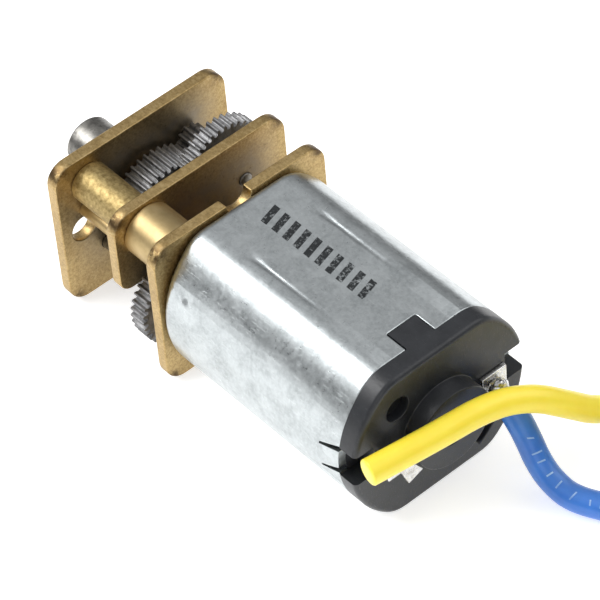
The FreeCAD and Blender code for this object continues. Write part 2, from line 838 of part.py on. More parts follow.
def make_end_cap():
    cap = new_body("end_cap")
    flange = new_sketch(cap, "flange", "cap_back")
    add_drum(flange, "can_round", "can_flat")
    pad(cap, flange, "cap_flange")
    round_edges(cap, "long_edges", "can_edge_fillet", flat_corners)
    round_edges(cap, "rim", "cap_rim_fillet",
                lambda edge, middle: abs(middle.x - sizes["cap_back"]) < 0.01)
    plug = new_sketch(cap, "plug", "can_back")
    add_drum(plug, "plug_round", "plug_flat")
    pad(cap, plug, "plug_long")
    boss = new_sketch(cap, "boss", "cap_back - cap_boss_long")
    add_circle(boss, "cap_boss_rad")
    pad(cap, boss, "cap_boss_long")
    hollow = new_sketch(cap, "hollow", "plug_front")
    add_circle(hollow, "plug_hollow_rad")
    add_circle(hollow, "plug_hub_rad")
    pocket(cap, hollow, "plug_hollow_deep", backwards=True)
    holes(cap, "bearing_seat", "plug_front", [("rear_bearing_rad", "0", "0")],
          "rear_bearing_long", backwards=True)
    holes(cap, "shaft_hole", "0", [("cap_shaft_hole_rad", "0", "0")])
    holes(cap, "well", "cap_back - cap_boss_long", [("cap_well_rad", "0", "0")], "cap_well_deep")
    holes(cap, "pit", "cap_back", [("cap_pit_rad", "cap_pit_spot", "cap_pit_spot")], "cap_groove_deep")
    groove = new_sketch(cap, "groove", "cap_back")
    add_arc_band(groove, "cap_groove_outer", "cap_groove_inner", "cap_groove_span", 228)
    pocket(cap, groove, "cap_groove_deep")
    for which, sign in (("left", 1), ("right", -1)):
        slot = new_sketch(cap, f"slot_{which}", "0")
        middle = "cap_slot_side" if sign > 0 else "0 - cap_slot_side"
        add_outline(slot, [
            (f"{middle} - slot_half_wide", "0 - slot_half_tall"),
            (f"{middle} + slot_half_wide", "0 - slot_half_tall"),
            (f"{middle} + slot_half_wide", "slot_half_tall"),
            (f"{middle} - slot_half_wide", "slot_half_tall"),
        ])
        pocket(cap, slot)
        notch = new_sketch(cap, f"notch_{which}", "cap_back")
        inner = "cap_notch_side" if sign > 0 else "0 - cap_notch_side"
        outer = "can_round + 1" if sign > 0 else "0 - can_round - 1"
        add_outline(notch, [
            (inner, "0 - cap_notch_low"),
            (outer, "0 - cap_notch_low"),
            (outer, "cap_notch_high"),
            (inner, "cap_notch_high"),
        ])
        pocket(cap, notch, "cap_flange")
    tab = new_sketch(cap, "tab", "can_back")
    add_outline(tab, [
        ("0 - tab_half", "can_inner_flat - can_wall"),
        ("tab_half", "can_inner_flat - can_wall"),
        ("tab_half", "can_flat"),
        ("0 - tab_half", "can_flat"),
    ])
    pad(cap, tab, "can_notch_long - 0.05")
    tube("rear_bearing", "plug_front - rear_bearing_long", "rear_bearing_long", "rear_bearing_rad",
         "bearing_bore_rad")


def arc_piece(name, back, length, outer, inner, span, facing):
    body = new_body(name)
    sketch = new_sketch(body, "section", back)
    add_arc_band(sketch, outer, inner, span, facing)
    pad(body, sketch, length)
    return body


def make_magnets():
    arc_piece("magnet_left", "magnet_back", "magnet_long", "magnet_outer", "magnet_inner",
              "magnet_span", 0)
    arc_piece("magnet_right", "magnet_back", "magnet_long", "magnet_outer", "magnet_inner",
              "magnet_span", 180)
    arc_piece("magnet_clip", "magnet_back", "magnet_long", "clip_outer", "clip_inner", "clip_span", 270)


def make_rotor():
    tube("rotor_shaft", "rotor_shaft_back", "rotor_shaft_front - rotor_shaft_back",
         "rotor_shaft_rad")
    core = tube("rotor_core", "core_back", "core_long", "core_rad", "rotor_shaft_rad")
    slot = new_sketch(core, "slot", "core_back")
    arm_half, mouth = sizes["core_arm_wide"] / 2, sizes["core_mouth_half"]
    arm = (math.cos(math.radians(60)), math.sin(math.radians(60)))

    def on_arm(along):
        """A point on the side of the next arm, in the slot's own directions."""
        return (along * arm[0] + arm_half * arm[1], along * arm[1] - arm_half * arm[0])

    upper = [
        (sizes["core_rad"] + 0.2, mouth),
        (sizes["core_lip_rad"], mouth),
        on_arm(sizes["core_shoe_rad"]),
        on_arm(sizes["core_hub_rad"]),
    ]
    add_plain_outline(slot, upper + [(across, -up) for across, up in reversed(upper)])
    cut_slot = pocket(core, slot, "core_long")
    doc.recompute()
    ring_of(core, cut_slot, 3)

    coils = []
    for number in range(3):
        facing = Rotation(X, 60 + 120 * number - 90)
        block = doc.addObject("Part::Box", f"winding_block{number}")
        bind(block, Length="core_long + winding_over + winding_over", Width="winding_wide",
             Height="winding_tall")
        hole = doc.addObject("Part::Box", f"winding_hole{number}")
        bind(hole, Length="core_long", Width="core_arm_wide", Height="winding_tall + winding_tall")
        for box, wide, start, low in (
            (block, sizes["winding_wide"], value("core_back - winding_over"), sizes["winding_low"]),
            (hole, sizes["core_arm_wide"], sizes["core_back"], value("winding_low - 0.5")),
        ):
            spot = facing.multVec(Vector(0, -wide / 2, low))
            box.Placement = Placement(Vector(start, spot.y, spot.z), facing)
        coils.append(cut(f"winding{number}", block, hole))
    fuse("rotor_windings", coils)

    fuse("rotor_collars", [
        cut(f"collar_{which}", rod(f"collar_{which}_rod", "collar_rad", back, "collar_long"),
            rod(f"collar_{which}_bore", "rotor_shaft_rad", back, "collar_long"))
        for which, back in (("rear", "core_back - collar_long"), ("front", "core_back + core_long"))
    ])
    tube("commutator_hub", "commutator_back", "commutator_long", "commutator_hub_rad",
         "rotor_shaft_rad")
    bars = []
    for number in range(3):
        bar = rod(f"bar{number}", "commutator_rad", "commutator_back", "commutator_long - 0.3")
        bind(bar, Angle="commutator_span")
        bar.Placement.Rotation = Rotation(X, 120 * number).multiply(Rotation(Y, 90))
        hole = rod(f"bar_hole{number}", "commutator_hub_rad", "commutator_back",
                   "commutator_long - 0.3")
        bars.append(cut(f"bar_cut{number}", bar, hole))
    fuse("commutator_bars", bars)


def make_brushes_and_terminals():
    brush_outline = [
        ("brush_back", "brush_side"),
        ("brush_front - brush_thick", "brush_side"),
        ("brush_front - brush_thick", "brush_tip"),
        ("brush_front", "brush_tip"),
        ("brush_front", "brush_side + brush_thick"),
        ("brush_back + brush_thick", "brush_side + brush_thick"),
        ("brush_back + brush_thick", "terminal_inner"),
        ("brush_back", "terminal_inner"),
    ]
    for which in ("left", "right"):
        back = f"terminal_{which}_back"
        terminal_outline = [
            ("terminal_front", "terminal_inner"),
            (f"{back} + terminal_thick", "terminal_inner"),
            (f"{back} + terminal_thick", "terminal_fold"),
            (back, "terminal_fold"),
            (back, "terminal_outer"),
            ("terminal_front", "terminal_outer"),
        ]
        for name, outline, tall in (
            ("brush", brush_outline, "brush_tall"),
            ("terminal", terminal_outline, "terminal_tall"),
        ):
            body = new_body(f"{name}_{which}")
            shape = new_sketch(body, "shape", plane="XY_Plane")
            if which == "right":
                outline = [(along, opposite(side)) for along, side in outline]
            add_outline(shape, outline)
            pad(body, shape, tall, middle=True)
        if which == "left":
            end = new_sketch(body, "end", back)
            add_outline(end, [
                ("terminal_fold", "0"),
                ("terminal_end_side", "0"),
                ("terminal_tip_outer", "0 - terminal_tip_low"),
                ("terminal_tip_inner", "0 - terminal_tip_high"),
                ("terminal_bend_side", "0 - terminal_bend_low"),
            ])
            pad(body, end, "terminal_thick")
    for which, side in (("left", "solder_left_side"), ("right", "0 - solder_right_side")):
        tube(f"solder_{which}", f"terminal_{which}_back - solder_{which}_long",
             f"solder_{which}_long", f"solder_{which}_rad", None, side, f"solder_{which}_high")


# ---------------------------------------------------------------- leads


def corner_radius(before, corner, after):
    """The radius of the arc that rounds a corner of a route, and how far from it the arc starts."""
    run_in, run_out = corner - before, after - corner
    half_turn = run_in.getAngle(run_out) / 2
    reach = 0.45 * min(run_in.Length, run_out.Length)
    return reach / math.tan(half_turn), reach


def rounded_route(points):
    """Straight runs joined by tangent arcs, as one wire, with the arcs' radii."""
    spots = [Vector(*point) for point in points]
    edges, radii, here = [], [], spots[0]
    for before, corner, after in zip(spots, spots[1:], spots[2:]):
        radius, reach = corner_radius(before, corner, after)
        radii.append(radius)
        back, ahead = (before - corner).normalize(), (after - corner).normalize()
        arc_start, arc_end = corner + back * reach, corner + ahead * reach
        to_centre = (back + ahead).normalize()
        centre_gap = math.hypot(radius, reach)
        arc_middle = corner + to_centre * (centre_gap - radius)
        edges.append(Part.LineSegment(here, arc_start).toShape())
        edges.append(Part.Arc(arc_start, arc_middle, arc_end).toShape())
        here = arc_end
    edges.append(Part.LineSegment(here, spots[-1]).toShape())
    return Part.Wire(edges), radii


def lead(label, points):
    route, radii = rounded_route(points)
    first = Vector(*points[0])
    heading = Vector(*points[1]) - first
    ring = Part.Wire(Part.Circle(first, heading, sizes["lead_rad"]).toShape())
    made = doc.addObject("Part::Feature", label)
    made.Label = label
    made.Shape = route.makePipeShell([ring], True, True)
    parts.append(made)
    expected = math.pi * sizes["lead_rad"] ** 2 * route.Length
    print(f"{label}: length {route.Length:.2f}, volume {made.Shape.Volume:.3f} of {expected:.3f}, "
          f"radii {[round(radius, 2) for radius in radii]}")


# Each route is the corners of a lead's axis, from its terminal to where its coil begins.
YELLOW_ROUTE = [
    (-25.8, 6.05, 1.6),
    (-26.42, 2.5, 1.72),
    (-26.85, -1.4, 1.75),
    (-27.64, -3.64, 1.2),
    (-28.4, -5.25, 0.0),
    (-29.05, -7.05, -1.5),
    (-29.45, -9.9, -2.4),
    (-28.95, -12.5, -2.55),
]
BLUE_ROUTE = [
    (-25.75, -3.45, -0.38),
    (-26.7, -3.43, -1.12),
    (-27.5, -3.38, -2.05),
    (-28.22, -3.3, -3.0),
    (-29.2, -3.3, -3.78),
    (-30.65, -3.45, -4.2),
    (-32.65, -4.5, -4.2),
    (-34.9, -4.95, -4.1),
    (-37.0, -4.87, -4.05),
]


def flat_ring(label, floor, tall):
    """A coil's outer shape: a level ring on the surface that the motor lies on."""
    body = doc.addObject("Part::Cylinder", f"{label}_outside")
    hole = doc.addObject("Part::Cylinder", f"{label}_inside")
    for item, radius in ((body, "coil_outer"), (hole, "coil_inner")):
        bind(item, Radius=radius, Height=tall, Placement__Base__x="coil_along",
             Placement__Base__y="coil_side", Placement__Base__z=floor)
    made = cut(label, body, hole)
    made.Label = label
    parts.append(made)
    return made


def make_leads():
    lead("yellow_lead", YELLOW_ROUTE)
    lead("blue_lead", BLUE_ROUTE)
    flat_ring("blue_coil", "coil_floor", "coil_layer")
    flat_ring("yellow_coil", "coil_floor + coil_layer", "coil_layer")
    for which, layer, facing, winding in (("blue", 0.5, 267.0, 1), ("yellow", 1.5, 215.0, -1)):
        tip = doc.addObject("Part::Cylinder", f"{which}_tip")
        tip.Label = f"{which}_tip"
        bind(tip, Radius="tip_rad", Height="tip_long")
        turned, inwards = math.radians(facing), math.radians(sizes["tip_inwards"])
        outward = Vector(math.cos(turned), math.sin(turned), 0)
        along = Vector(-math.sin(turned), math.cos(turned), 0) * winding
        spot = Vector(sizes["coil_along"], sizes["coil_side"],
                      sizes["coil_floor"] + layer * sizes["coil_layer"])
        heading = along * math.cos(inwards) - outward * math.sin(inwards)
        tip.Placement = Placement(spot + outward * sizes["tip_away"], Rotation(Z, heading))
        parts.append(tip)
    block = doc.addObject("Part::Box", "tie_outside")
    space = doc.addObject("Part::Box", "tie_inside")
    bind(block, Length="coil_outer - coil_inner + tie_slack + tie_skin + tie_skin", Width="tie_wide",
         Height="coil_layer + coil_layer + tie_skin + tie_skin",
         Placement__Base__x="coil_along - coil_outer - tie_skin",
         Placement__Base__y="coil_side - tie_half", Placement__Base__z="coil_floor - tie_skin")
    bind(space, Length="coil_outer - coil_inner + tie_slack", Width="tie_wide",
         Height="coil_layer + coil_layer", Placement__Base__x="coil_along - coil_outer",
         Placement__Base__y="coil_side - tie_half", Placement__Base__z="coil_floor")
    tie = cut("lead_tie", block, space)
    tie.Label = "lead_tie"
    parts.append(tie)


make_plates()
make_pillars_and_screws()
make_output()
make_gear_train()
make_can()
make_end_cap()
make_magnets()
make_rotor()
make_brushes_and_terminals()
make_leads()
doc.recompute()

# ---------------------------------------------------------------- checks and files

broken = [item.Name for item in doc.Objects if {"Invalid", "Error"} & set(item.State)]
if broken:
    raise RuntimeError(f"these objects failed: {broken}")
for item in parts:
    if item.Shape.isNull() or not item.Shape.isValid():
        raise RuntimeError(f"{item.Label} has no valid shape")
for item in parts:
    item.Shape.exportStep(f"parts/{item.Label}.step")
    print(f"{item.Label}: {len(item.Shape.Solids)} solid(s), {item.Shape.Volume:.3f} mm3")
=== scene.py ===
import json
import math
import random

import bmesh
import bpy
from mathutils import Euler, Matrix, Vector, noise


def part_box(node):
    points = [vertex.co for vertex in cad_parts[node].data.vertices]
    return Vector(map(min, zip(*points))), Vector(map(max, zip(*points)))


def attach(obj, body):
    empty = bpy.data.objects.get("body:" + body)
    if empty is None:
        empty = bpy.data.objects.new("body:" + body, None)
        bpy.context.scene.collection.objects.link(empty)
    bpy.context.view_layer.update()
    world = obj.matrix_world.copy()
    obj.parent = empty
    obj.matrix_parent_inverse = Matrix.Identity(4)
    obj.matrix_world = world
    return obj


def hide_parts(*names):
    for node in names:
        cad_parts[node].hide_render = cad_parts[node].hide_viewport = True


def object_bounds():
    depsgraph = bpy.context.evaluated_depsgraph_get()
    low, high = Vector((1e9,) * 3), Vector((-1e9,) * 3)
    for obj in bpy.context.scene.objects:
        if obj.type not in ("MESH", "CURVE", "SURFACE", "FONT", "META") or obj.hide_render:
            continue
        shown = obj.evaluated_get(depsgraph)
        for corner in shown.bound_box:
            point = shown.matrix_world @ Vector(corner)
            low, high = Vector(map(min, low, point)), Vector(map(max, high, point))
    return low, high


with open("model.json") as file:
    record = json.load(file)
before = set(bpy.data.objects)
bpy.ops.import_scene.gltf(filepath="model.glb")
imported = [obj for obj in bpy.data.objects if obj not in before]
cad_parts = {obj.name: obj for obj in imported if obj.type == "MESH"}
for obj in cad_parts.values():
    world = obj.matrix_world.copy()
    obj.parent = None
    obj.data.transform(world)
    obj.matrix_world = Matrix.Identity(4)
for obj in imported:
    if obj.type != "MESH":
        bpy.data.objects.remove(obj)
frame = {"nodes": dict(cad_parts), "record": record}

# The looks of a miniature geared dc motor. Blender's unit is the metre; the numbers of the model's
# own shapes are millimetres and pass through MM.

MM = 0.001
random.seed(437)
cad_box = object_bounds()
scene = bpy.context.scene
record = frame["record"]
slot_of = {part["node"]: part["material_slot"] for part in record["subparts"]}
body_of = {node: body for body, nodes in record["behaviour"]["bodies"].items() for node in nodes}


def mm(*numbers):
    return Vector(numbers) * MM


# ---------------------------------------------------------------- material nodes


class Shade:
    """A material whose nodes are made by short calls. Its pattern sizes are in millimetres."""

    def __init__(self, name, **plain):
        self.material = bpy.data.materials.new(name)
        self.material.use_nodes = True
        self.nodes = self.material.node_tree.nodes
        self.links = self.material.node_tree.links
        self.bsdf = self.nodes["Principled BSDF"]
        coordinates = self.nodes.new("ShaderNodeTexCoord")
        self.spot = self.vector("SCALE", coordinates.outputs["Object"], scale=1 / MM)
        self.normal = None
        for socket, number in plain.items():
            self.set(socket, number)

    def set(self, socket, source):
        self.feed(self.bsdf.inputs[socket.replace("_", " ")], source)

    def feed(self, socket, source):
        if isinstance(source, bpy.types.NodeSocket):
            self.links.new(source, socket)
        elif socket.type == "RGBA":
            socket.default_value = (*source, 1.0)
        else:
            socket.default_value = source

    def vector(self, operation, first, second=None, scale=None):
        node = self.nodes.new("ShaderNodeVectorMath")
        node.operation = operation
        self.feed(node.inputs[0], first)
        if second is not None:
            self.feed(node.inputs[1], second)
        if scale is not None:
            self.feed(node.inputs["Scale"], scale)
        return node.outputs[0]

    def math(self, operation, *sources):
        node = self.nodes.new("ShaderNodeMath")
        node.operation = operation
        for socket, source in zip(node.inputs, sources):
            self.feed(socket, source)
        return node.outputs[0]

    def axes(self):
        node = self.nodes.new("ShaderNodeSeparateXYZ")
        self.feed(node.inputs[0], self.spot)
        return node.outputs

    def noise(self, scale, detail=3.0, roughness=0.55, stretch=None, distortion=0.0):
        node = self.nodes.new("ShaderNodeTexNoise")
        spot = self.spot if stretch is None else self.vector("MULTIPLY", self.spot, stretch)
        self.feed(node.inputs["Vector"], spot)
        self.feed(node.inputs["Scale"], scale)
        self.feed(node.inputs["Detail"], detail)
        self.feed(node.inputs["Roughness"], roughness)
        self.feed(node.inputs["Distortion"], distortion)
        return node.outputs[0]

    def range(self, source, low, high, to_low=0.0, to_high=1.0):
        node = self.nodes.new("ShaderNodeMapRange")
        for socket, number in zip(node.inputs, (source, low, high, to_low, to_high)):
            self.feed(socket, number)
        return node.outputs[0]

    def blend(self, factor, first, second):
        node = self.nodes.new("ShaderNodeMix")
        node.data_type = "RGBA"
        for socket, source in ((node.inputs[0], factor), (node.inputs[6], first), (node.inputs[7], second)):
            self.feed(socket, source)
        return node.outputs[2]

    def bump(self, height, depth):
        """Raise the surface by a height from 0 to 1, at a depth in millimetres."""
        node = self.nodes.new("ShaderNodeBump")
        self.feed(node.inputs["Strength"], 1.0)
        self.feed(node.inputs["Distance"], depth * MM)
        self.feed(node.inputs["Height"], height)
        if self.normal is not None:
            self.feed(node.inputs["Normal"], self.normal)
        self.normal = node.outputs[0]
        self.set("Normal", self.normal)


def worked_metal(name, light, dark, rough, blotch=0.8, grain=9.0, stretch=None, pit=0.004, tarnish=None):
    """A metal whose colour drifts in blotches, with a fine grain, and tarnish spots where asked for."""
    shade = Shade(name, Metallic=1.0)
    drift = shade.range(shade.noise(blotch, 5.0, 0.6), 0.35, 0.65)
    colour = shade.blend(drift, dark, light)
    fine = shade.noise(grain, 4.0, 0.6, stretch)
    low, high = rough
    gloss = shade.range(fine, 0.3, 0.7, low, high)
    if tarnish:
        spots = shade.range(shade.noise(blotch * 1.7, 6.0, 0.7, distortion=0.6), 0.54, 0.68)
        colour = shade.blend(shade.math("MULTIPLY", spots, 0.75), colour, tarnish)
        gloss = shade.math("ADD", gloss, shade.math("MULTIPLY", spots, 0.15))
    shade.set("Base Color", colour)
    shade.set("Roughness", gloss)
    shade.bump(fine, pit)
    return shade


def moulded(name, colour, other, rough, texture=14.0, depth=0.003, dust=None, **plain):
    """A plastic with a faint drift of colour, a fine texture, and dust where asked for."""
    shade = Shade(name, **plain)
    drift = shade.range(shade.noise(1.1, 4.0, 0.6), 0.35, 0.65)
    mixed = shade.blend(drift, colour, other)
    low, high = rough
    fine = shade.noise(texture, 3.0, 0.6)
    gloss = shade.range(fine, 0.3, 0.7, low, high)
    if dust:
        specks = shade.range(shade.noise(11.0, 6.0, 0.75), 0.60, 0.70)
        mixed = shade.blend(shade.math("MULTIPLY", specks, 0.5), mixed, dust)
        gloss = shade.math("ADD", gloss, shade.math("MULTIPLY", specks, 0.2))
    shade.set("Base Color", mixed)
    shade.set("Roughness", gloss)
    shade.bump(fine, depth)
    return shade


def zinc_can():
    """Zinc-plated steel: cloudy patches, scratches, pits, and a worn printed stamp on the top."""
    shade = Shade("zinc_can", Metallic=1.0)
    cloud = shade.range(shade.noise(0.7, 6.0, 0.65, distortion=0.5), 0.36, 0.64)
    colour = shade.blend(cloud, (0.38, 0.410, 0.418), (0.53, 0.565, 0.575))
    mottle = shade.range(shade.noise(4.2, 6.0, 0.75), 0.42, 0.60)
    colour = shade.blend(shade.math("MULTIPLY", mottle, 0.35), colour, (0.67, 0.71, 0.72))
    pits = shade.range(shade.noise(6.5, 6.0, 0.75), 0.635, 0.71)
    colour = shade.blend(shade.math("MULTIPLY", pits, 0.45), colour, (0.20, 0.21, 0.20))
    scratch = shade.range(shade.noise(5.0, 2.0, 0.5, (0.25, 2.6, 2.6)), 0.64, 0.68)
    colour = shade.blend(shade.math("MULTIPLY", scratch, 0.22), colour, (0.80, 0.83, 0.84))

    # the stamp: one row of slanted bars on the top flat, more worn towards the back
    bars_per_mm, lean, gap_share = 1.18, 0.28, 0.46
    row_along, row_half_long = -14.9, 4.2
    row_across, row_half_wide = -0.41, 0.66
    just_under_top = 4.8
    along, across, up = shade.axes()
    slanted = shade.math("ADD", along, shade.math("MULTIPLY", across, lean))
    repeated = shade.math("FRACT", shade.math("MULTIPLY", slanted, bars_per_mm))
    bars = shade.math("GREATER_THAN", repeated, gap_share)
    inside = shade.math("COMPARE", along, row_along, row_half_long)
    level = shade.math("COMPARE", across, row_across, row_half_wide)
    top = shade.math("GREATER_THAN", up, just_under_top)
    fading = shade.math("ADD", shade.noise(5.5, 6.0, 0.8), shade.range(along, -19.0, -11.5, 0.035, 0.07))
    worn = shade.range(fading, 0.45, 0.52)
    ink = shade.math("MULTIPLY", bars, inside)
    for part in (level, top, worn):
        ink = shade.math("MULTIPLY", ink, part)
    ink = shade.math("MULTIPLY", ink, 0.92)
    shade.set("Base Color", shade.blend(ink, colour, (0.022, 0.024, 0.026)))
    gloss = shade.range(shade.noise(3.4, 6.0, 0.7), 0.35, 0.65, 0.27, 0.38)
    shade.set("Roughness", shade.math("ADD", gloss, shade.math("MULTIPLY", pits, 0.2)))
    shade.bump(shade.noise(2.6, 6.0, 0.65), 0.006)
    shade.bump(scratch, 0.0015)
    shade.bump(shade.math("SUBTRACT", 1.0, pits), 0.008)
    return shade


def insulation(name, colour, other):
    """Soft glossy cable insulation, a little translucent, with a faint drift of colour and scuffs."""
    shade = Shade(name, Subsurface_Weight=0.12, Subsurface_Scale=0.0006,
                  Coat_Weight=0.25, Coat_Roughness=0.18)
    drift = shade.range(shade.noise(0.9, 4.0, 0.6), 0.35, 0.65)
    scuff = shade.range(shade.noise(8.0, 5.0, 0.75), 0.60, 0.72)
    mixed = shade.blend(drift, colour, other)
    faded = tuple(0.7 * part + 0.3 for part in colour)
    shade.set("Base Color", shade.blend(shade.math("MULTIPLY", scuff, 0.12), mixed, faded))
    shade.set("Roughness", shade.range(shade.noise(5.0, 4.0, 0.6), 0.3, 0.7, 0.30, 0.42))
    shade.bump(shade.noise(1.4, 3.0, 0.5), 0.006)
    shade.bump(shade.noise(16.0, 3.0, 0.6), 0.0015)
    return shade


def cap_plastic():
    """Dark moulded plastic, half glossy, with dust, a faint moulding grain and fine scratches."""
    shade = moulded("cap_plastic", (0.011, 0.0125, 0.0155), (0.019, 0.021, 0.025), (0.30, 0.44),
                    18.0, 0.003, (0.085, 0.087, 0.09), Specular_IOR_Level=0.5)
    scratch = shade.range(shade.noise(6.0, 2.0, 0.5, (0.35, 4.2, 0.5)), 0.66, 0.70)
    shade.bump(scratch, 0.004)
    return shade


def plate_brass():
    """Matte blanked brass: a fine even grain, a greyer painted shade between the plates, brown at the worn
    corners.
    """
    shade = Shade("brass_plate", Metallic=1.0)
    drift = shade.range(shade.noise(0.5, 3.0, 0.5), 0.3, 0.7)
    colour = shade.blend(drift, (0.40, 0.275, 0.115), (0.52, 0.37, 0.165))
    grain = shade.noise(6.5, 5.0, 0.75, (0.7, 1.0, 1.0))
    colour = shade.blend(shade.range(grain, 0.50, 0.68, 0.0, 0.65), colour, (0.66, 0.53, 0.29))
    colour = shade.blend(shade.range(grain, 0.50, 0.34, 0.0, 0.65), colour, (0.23, 0.16, 0.07))
    along, across, up = shade.axes()
    sideways, upright = shade.math("ABSOLUTE", across), shade.math("ABSOLUTE", up)
    # painted shade between the plates: a greyer colour, fading out towards their edges and weaker towards the
    # bottom
    middle = shade.math("MULTIPLY", shade.range(sideways, 5.6, 3.6), shade.range(upright, 4.9, 3.2))
    painted_shade_between_plates = shade.math("MULTIPLY", shade.math("COMPARE", along, -4.6, 3.88), middle)
    painted_shade_between_plates = shade.math("MULTIPLY", painted_shade_between_plates, shade.range(up, -3.2, 0.0, 0.25, 1.0))
    painted_shade = shade.math("MULTIPLY", painted_shade_between_plates, shade.range(shade.noise(1.2, 4.0, 0.6), 0.3, 0.6, 0.55, 0.85))
    colour = shade.blend(painted_shade, colour, (0.31, 0.27, 0.215))
    # tarnished in patches at the four corners, and in specks all over
    corner = shade.math("MULTIPLY", shade.range(sideways, 4.9, 5.5), shade.range(upright, 4.0, 4.5))
    patches = shade.range(shade.noise(1.5, 5.0, 0.7), 0.38, 0.52)
    specks = shade.range(shade.noise(3.4, 6.0, 0.75), 0.59, 0.68, 0.0, 0.55)
    worn = shade.math("MAXIMUM", shade.math("MULTIPLY", corner, patches), specks)
    shade.set("Base Color", shade.blend(shade.math("MULTIPLY", worn, 0.9), colour, (0.075, 0.045, 0.022)))
    shade.set("Roughness", shade.range(grain, 0.3, 0.7, 0.34, 0.48))
    shade.bump(grain, 0.004)
    shade.bump(shade.noise(1.4, 3.0, 0.5), 0.010)
    return shade


materials = {
    "brass": plate_brass(),
    "speckled": worked_metal("speckled_brass", (0.52, 0.40, 0.18), (0.27, 0.195, 0.08), (0.42, 0.56),
                             4.5, 14.0, pit=0.012),
    "smooth_brass": worked_metal("smooth_brass", (0.54, 0.415, 0.215), (0.43, 0.32, 0.155), (0.38, 0.50),
                                 0.9, 14.0, (1.0, 0.3, 0.3), 0.003),
    "gear_steel": worked_metal("gear_steel", (0.34, 0.34, 0.345), (0.16, 0.16, 0.162), (0.42, 0.58),
                               1.2, 9.0, pit=0.008, tarnish=(0.09, 0.088, 0.085)),
    "shaft_steel": worked_metal("shaft_steel", (0.34, 0.33, 0.305), (0.14, 0.135, 0.125), (0.30, 0.46),
                                1.3, 7.0, (1.0, 0.5, 0.5), 0.006, (0.07, 0.065, 0.06)),
    "screw_steel": worked_metal("screw_steel", (0.56, 0.55, 0.53), (0.30, 0.29, 0.28), (0.25, 0.40),
                                1.5, 9.0),
    "can_steel": zinc_can(),
    "cap_plastic": cap_plastic(),
    "bronze": worked_metal("sintered_bronze", (0.58, 0.40, 0.23), (0.30, 0.19, 0.10), (0.42, 0.62),
                           2.5, 16.0, pit=0.012),
    "ferrite": moulded("ferrite", (0.030, 0.030, 0.033), (0.055, 0.055, 0.058), (0.55, 0.75), 10.0, 0.010),
    "lamination_steel": worked_metal("lamination", (0.46, 0.46, 0.47), (0.26, 0.26, 0.27), (0.35, 0.5),
                                     1.0, 6.0, (8.0, 0.3, 0.3), 0.012),
    "copper": worked_metal("copper_wire", (0.80, 0.38, 0.20), (0.50, 0.19, 0.09), (0.22, 0.36),
                           1.5, 4.0, (3.5, 0.4, 0.4), 0.02),
    "insulator": moulded("insulator", (0.62, 0.58, 0.47), (0.52, 0.48, 0.38), (0.45, 0.6)),
    "spring_bronze": worked_metal("spring_bronze", (0.80, 0.58, 0.30), (0.55, 0.37, 0.17), (0.22, 0.34)),
    "tinned": worked_metal("tinned", (0.86, 0.86, 0.85), (0.58, 0.57, 0.55), (0.16, 0.34),
                           2.2, 8.0, pit=0.008, tarnish=(0.36, 0.31, 0.24)),
    "solder": worked_metal("solder", (0.80, 0.80, 0.80), (0.46, 0.46, 0.46), (0.16, 0.34),
                           2.6, 7.0, pit=0.012, tarnish=(0.30, 0.26, 0.20)),
    "yellow_pvc": insulation("yellow_pvc", (1.0, 0.81, 0.062), (0.98, 0.77, 0.050)),
    "blue_pvc": insulation("blue_pvc", (0.045, 0.210, 0.700), (0.035, 0.170, 0.610)),
    "tie_plastic": moulded("tie_plastic", (0.80, 0.80, 0.77), (0.72, 0.72, 0.68), (0.35, 0.5)),
    "print": moulded("print", (0.42, 0.62, 0.90), (0.16, 0.34, 0.72), (0.45, 0.6), 20.0, 0.002),
}


# ---------------------------------------------------------------- pieces


def new_piece(name, mesh, body, slot, look=None, replaced=()):
    piece = bpy.data.objects.new(name, mesh)
    scene.collection.objects.link(piece)
    mesh.materials.clear()
    mesh.materials.append(materials[look or slot].material)
    if isinstance(mesh, bpy.types.Mesh):
        for polygon in mesh.polygons:
            polygon.use_smooth = True
            polygon.material_index = 0
    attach(piece, body)
    if replaced:
        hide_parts(*replaced)
    return piece


def mesh_from(form, name):
    mesh = bpy.data.meshes.new(name)
    form.to_mesh(mesh)
    form.free()
    return mesh


def flat_faced(node):
    """A node's shape with its triangles joined into whole flat faces."""
    form = bmesh.new()
    form.from_mesh(frame["nodes"][node].data)
    bmesh.ops.remove_doubles(form, verts=form.verts, dist=0.0003 * MM)
    bmesh.ops.dissolve_limit(form, angle_limit=math.radians(0.6), verts=form.verts, edges=form.edges,
                             use_dissolve_boundaries=False)
    return form


def soft_edges(piece, width, segments=2, angle=35.0, spared=None):
    """Wear the sharp edges round, apart from those whose middles a test spares."""
    form = bmesh.new()
    form.from_mesh(piece.data)
    weights = form.edges.layers.float.new("bevel_weight_edge")
    for edge in form.edges:
        if len(edge.link_faces) != 2 or edge.calc_face_angle() < math.radians(angle):
            continue
        middle = (edge.verts[0].co + edge.verts[1].co) / 2 / MM
        if spared and spared(*middle):
            edge.smooth = False
        else:
            edge[weights] = 1.0
    form.to_mesh(piece.data)
    form.free()
    bevel = piece.modifiers.new("edges", "BEVEL")
    bevel.width = width * MM
    bevel.segments = segments
    bevel.limit_method = "WEIGHT"
    bevel.use_clamp_overlap = False
    bevel.miter_outer = "MITER_ARC"
    flatter = piece.modifiers.new("flatter", "WEIGHTED_NORMAL")
    flatter.mode = "FACE_AREA"
    flatter.weight = 100
    flatter.keep_sharp = True


